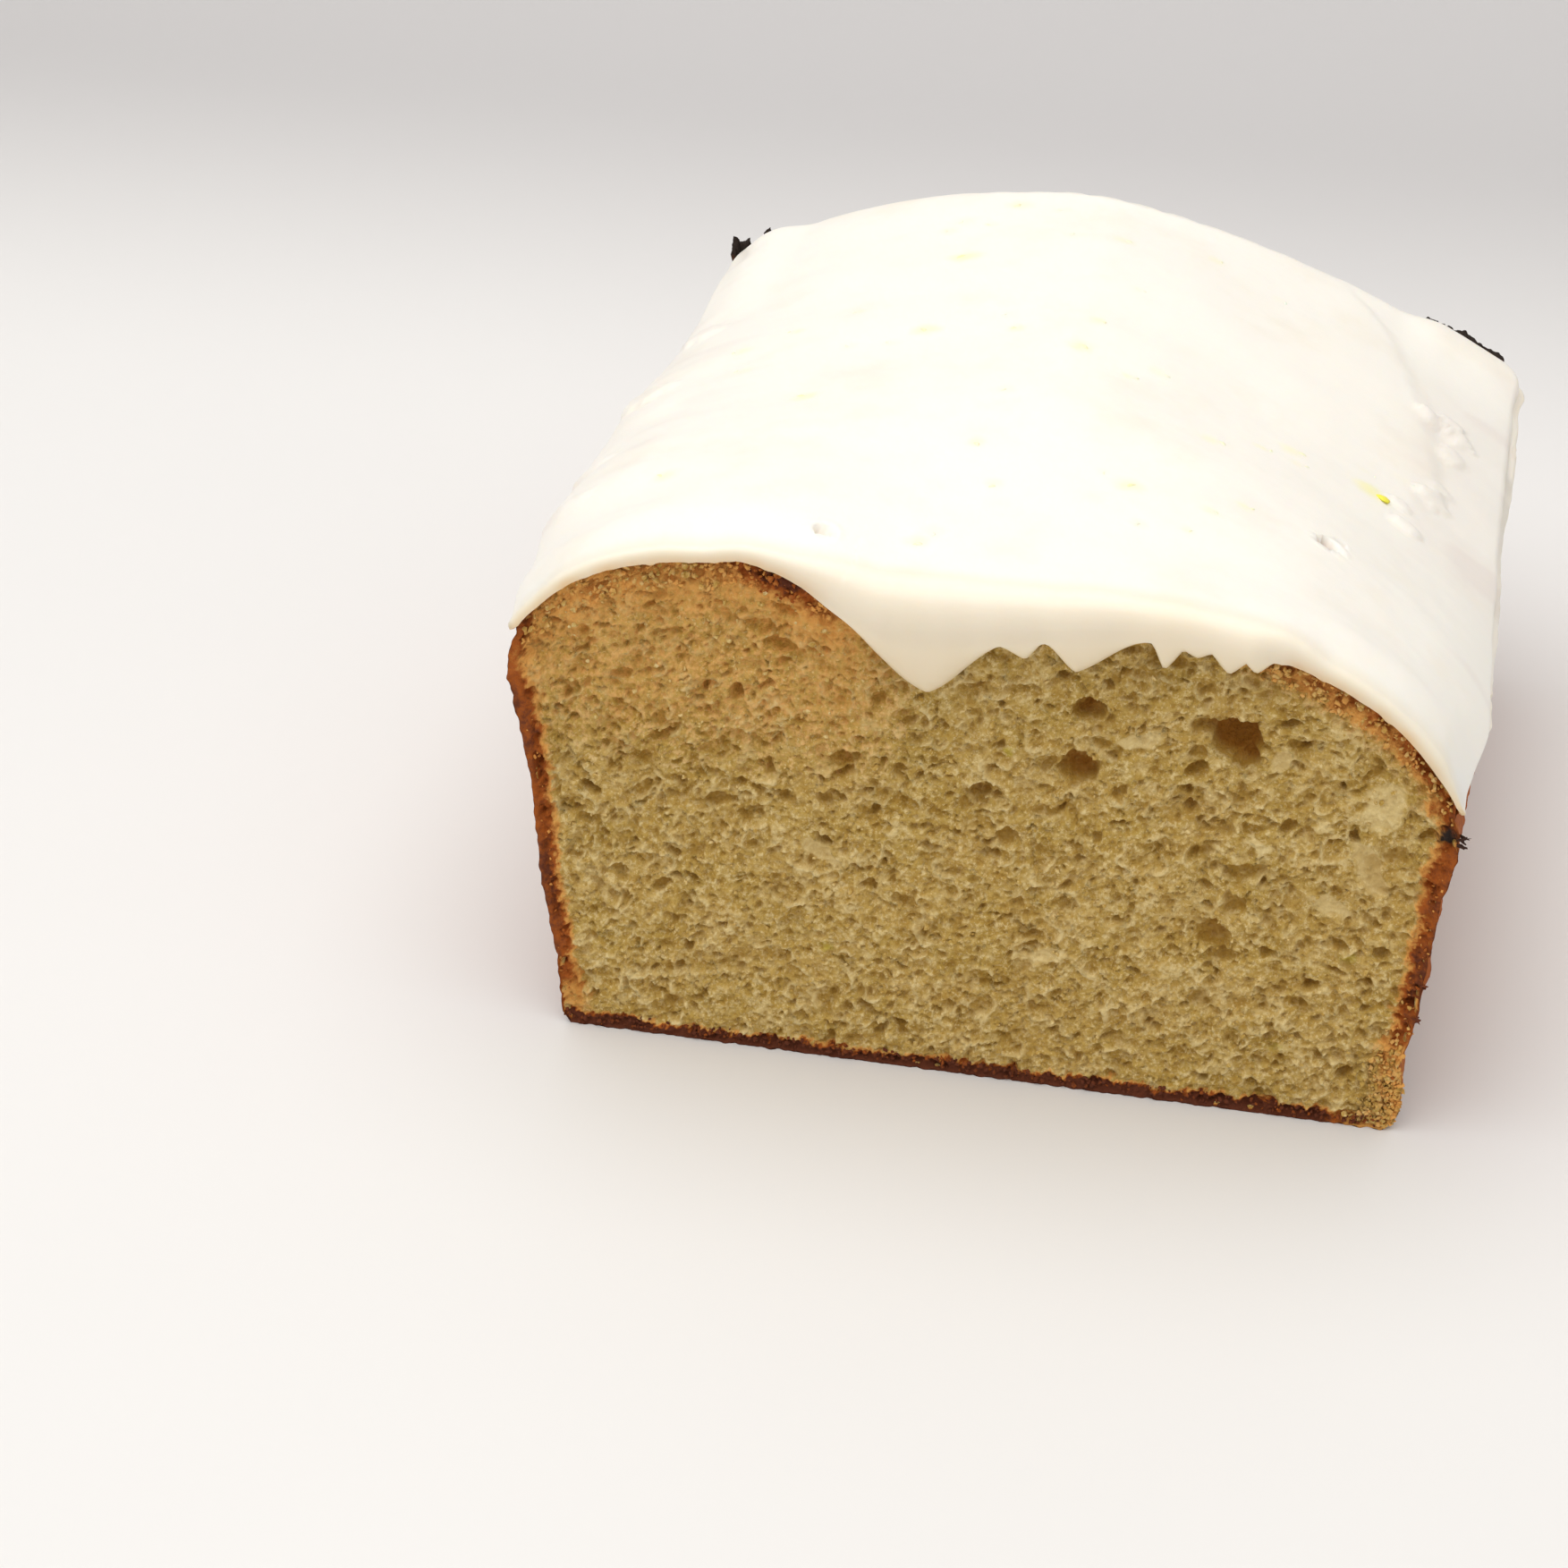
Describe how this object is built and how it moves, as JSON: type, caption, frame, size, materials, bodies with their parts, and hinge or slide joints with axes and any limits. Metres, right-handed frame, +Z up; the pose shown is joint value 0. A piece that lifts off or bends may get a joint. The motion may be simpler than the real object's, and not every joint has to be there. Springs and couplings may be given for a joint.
{
  "type": "lemon drizzle loaf cake",
  "caption": "Lemon drizzle loaf cake cut across: domed sponge with browned crust and open crumb on the cut face, under a thick white icing that drips over the cut and down the sides.",
  "frame": {"origin": "middle of the cake's box at its base, on the flat underside it rests on", "axes": "+X across the loaf, +Y along the loaf from the cut face to the baked far end, +Z up through the dome"},
  "size_m": [0.1336, 0.1506, 0.0805],
  "materials": {
    "sponge": "matt open crumb, pale yellow, with a thin orange-brown to dark brown baked crust",
    "icing": "set sugar icing, opaque soft white with a satin sheen, flecked with pale yellow zest"
  },
  "bodies": {
    "root": {"sponge": "sponge", "icing": "icing"}
  },
  "joints": []
}
